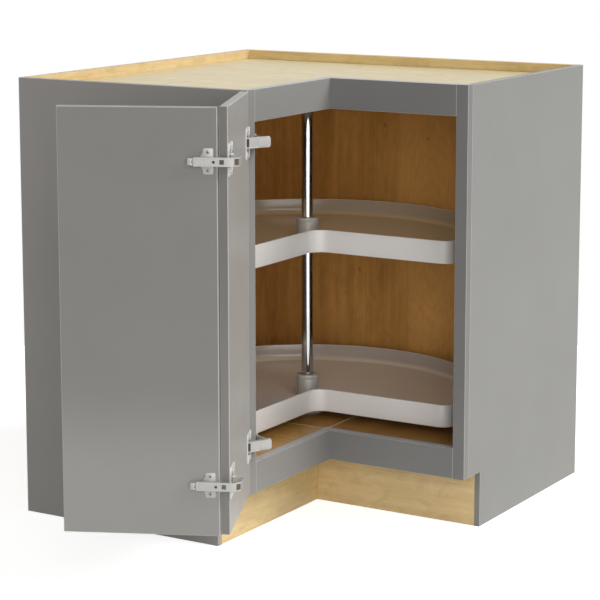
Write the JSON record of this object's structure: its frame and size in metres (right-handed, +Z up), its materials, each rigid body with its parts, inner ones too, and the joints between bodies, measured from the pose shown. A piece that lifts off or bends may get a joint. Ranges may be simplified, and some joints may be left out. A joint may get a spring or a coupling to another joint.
{
  "type": "corner base cabinet",
  "caption": "Corner base kitchen cabinet with an L-shaped plan, a folding pair of doors on linked concealed hinges and turning notched trays on a central pole.",
  "frame": {"origin": "the room's back corner on the floor, where the two wall panels meet", "axes": "+Z up, +Y to the back wall, -X to the left wall; the cabinet runs along +X and -Y"},
  "size_m": [0.83, 1.2152, 0.876],
  "materials": {
    "dark_paint": "satin painted",
    "door_paint": "satin painted",
    "light_paint": "satin painted",
    "frame_paint": "satin painted",
    "inner_wood": "varnished",
    "pale_wood": "plain",
    "rail_wood": "plain",
    "toe_wood": "plain",
    "chrome": "polished",
    "steel": "nickel plated",
    "socket_plastic": "matt",
    "tray_plastic": "satin",
    "hub_plastic": "matt"
  },
  "bodies": {
    "cabinet": {"left_end_panel": "dark_paint", "right_end_panel": "light_paint", "left_wall_panel": "inner_wood", "back_wall_panel": "inner_wood", "left_hanging_rail": "rail_wood", "back_hanging_rail": "rail_wood", "top_board": "pale_wood", "floor_corner_board": "inner_wood", "floor_left_board": "inner_wood", "floor_right_board": "inner_wood", "cleat_left_wall": "inner_wood", "cleat_back_wall": "inner_wood", "cleat_left_end": "inner_wood", "cleat_right_end": "inner_wood", "toe_board_left": "toe_wood", "toe_board_right": "toe_wood", "left_stile": "frame_paint", "right_stile": "frame_paint", "top_rail_left": "frame_paint", "top_rail_right": "frame_paint", "bottom_rail_left": "frame_paint", "bottom_rail_right": "frame_paint", "pole": "chrome", "pole_foot": "socket_plastic", "pole_head": "socket_plastic", "stop_collar_upper": "steel", "stop_collar_lower": "steel", "set_screws": "steel", "hinge_base_upper": "steel", "hinge_base_lower": "steel", "base_pins": "steel", "cabinet_screws": "steel"},
    "inner_links": {"inner_link_upper": "steel", "inner_link_lower": "steel"},
    "outer_links": {"outer_link_upper": "steel", "outer_link_lower": "steel", "knee_pins": "steel"},
    "leaf_a": {"door_leaf_a": "door_paint", "frame_cup_upper": "steel", "frame_cup_lower": "steel", "fold_cup_upper": "steel", "fold_cup_lower": "steel", "cup_pins": "steel", "fold_pins": "steel", "leaf_a_screws": "steel"},
    "leaf_b": {"door_leaf_b": "door_paint", "fold_plate_upper": "steel", "fold_plate_lower": "steel", "fold_arm_upper": "steel", "fold_arm_lower": "steel", "fold_clip_upper": "steel", "fold_clip_lower": "steel", "leaf_b_screws": "steel", "arm_screws": "steel"},
    "upper_tray": {"tray_upper": "tray_plastic", "hub_upper": "hub_plastic", "hub_screws_upper": "steel"},
    "lower_tray": {"tray_lower": "tray_plastic", "hub_lower": "hub_plastic", "hub_screws_lower": "steel"}
  },
  "joints": [
    {"name": "frame_hinge_base", "type": "hinge", "parent": "cabinet", "child": "inner_links", "pos_m": [0.523, -0.795, 0], "axis": [0, 0, -1], "range_deg": [-152.6, 0]},
    {"name": "frame_hinge_knee", "type": "hinge", "parent": "inner_links", "child": "outer_links", "pos_m": [0.56216, -0.81301, 0], "axis": [0, 0, -1], "range_deg": [0, 73.7]},
    {"name": "frame_hinge_cup", "type": "hinge", "parent": "outer_links", "child": "leaf_a", "pos_m": [0.54114, -0.85915, 0], "axis": [0, 0, -1], "range_deg": [-76.1, 0]},
    {"name": "door_fold", "type": "hinge", "parent": "leaf_a", "child": "leaf_b", "pos_m": [0.64606, -1.06345, 0], "axis": [0, 0, -1], "range_deg": [0, 60]},
    {"name": "upper_tray_turn", "type": "hinge", "parent": "cabinet", "child": "upper_tray", "pos_m": [0.4, -0.4, 0], "axis": [0, 0, 1], "range_deg": [-360, 360]},
    {"name": "lower_tray_turn", "type": "hinge", "parent": "cabinet", "child": "lower_tray", "pos_m": [0.4, -0.4, 0], "axis": [0, 0, 1], "range_deg": [-360, 360]}
  ],
  "couplings": [
    {"joint": "frame_hinge_knee", "follows": "frame_hinge_base", "ratio": -0.48296},
    {"joint": "frame_hinge_cup", "follows": "frame_hinge_base", "ratio": 0.49868}
  ]
}
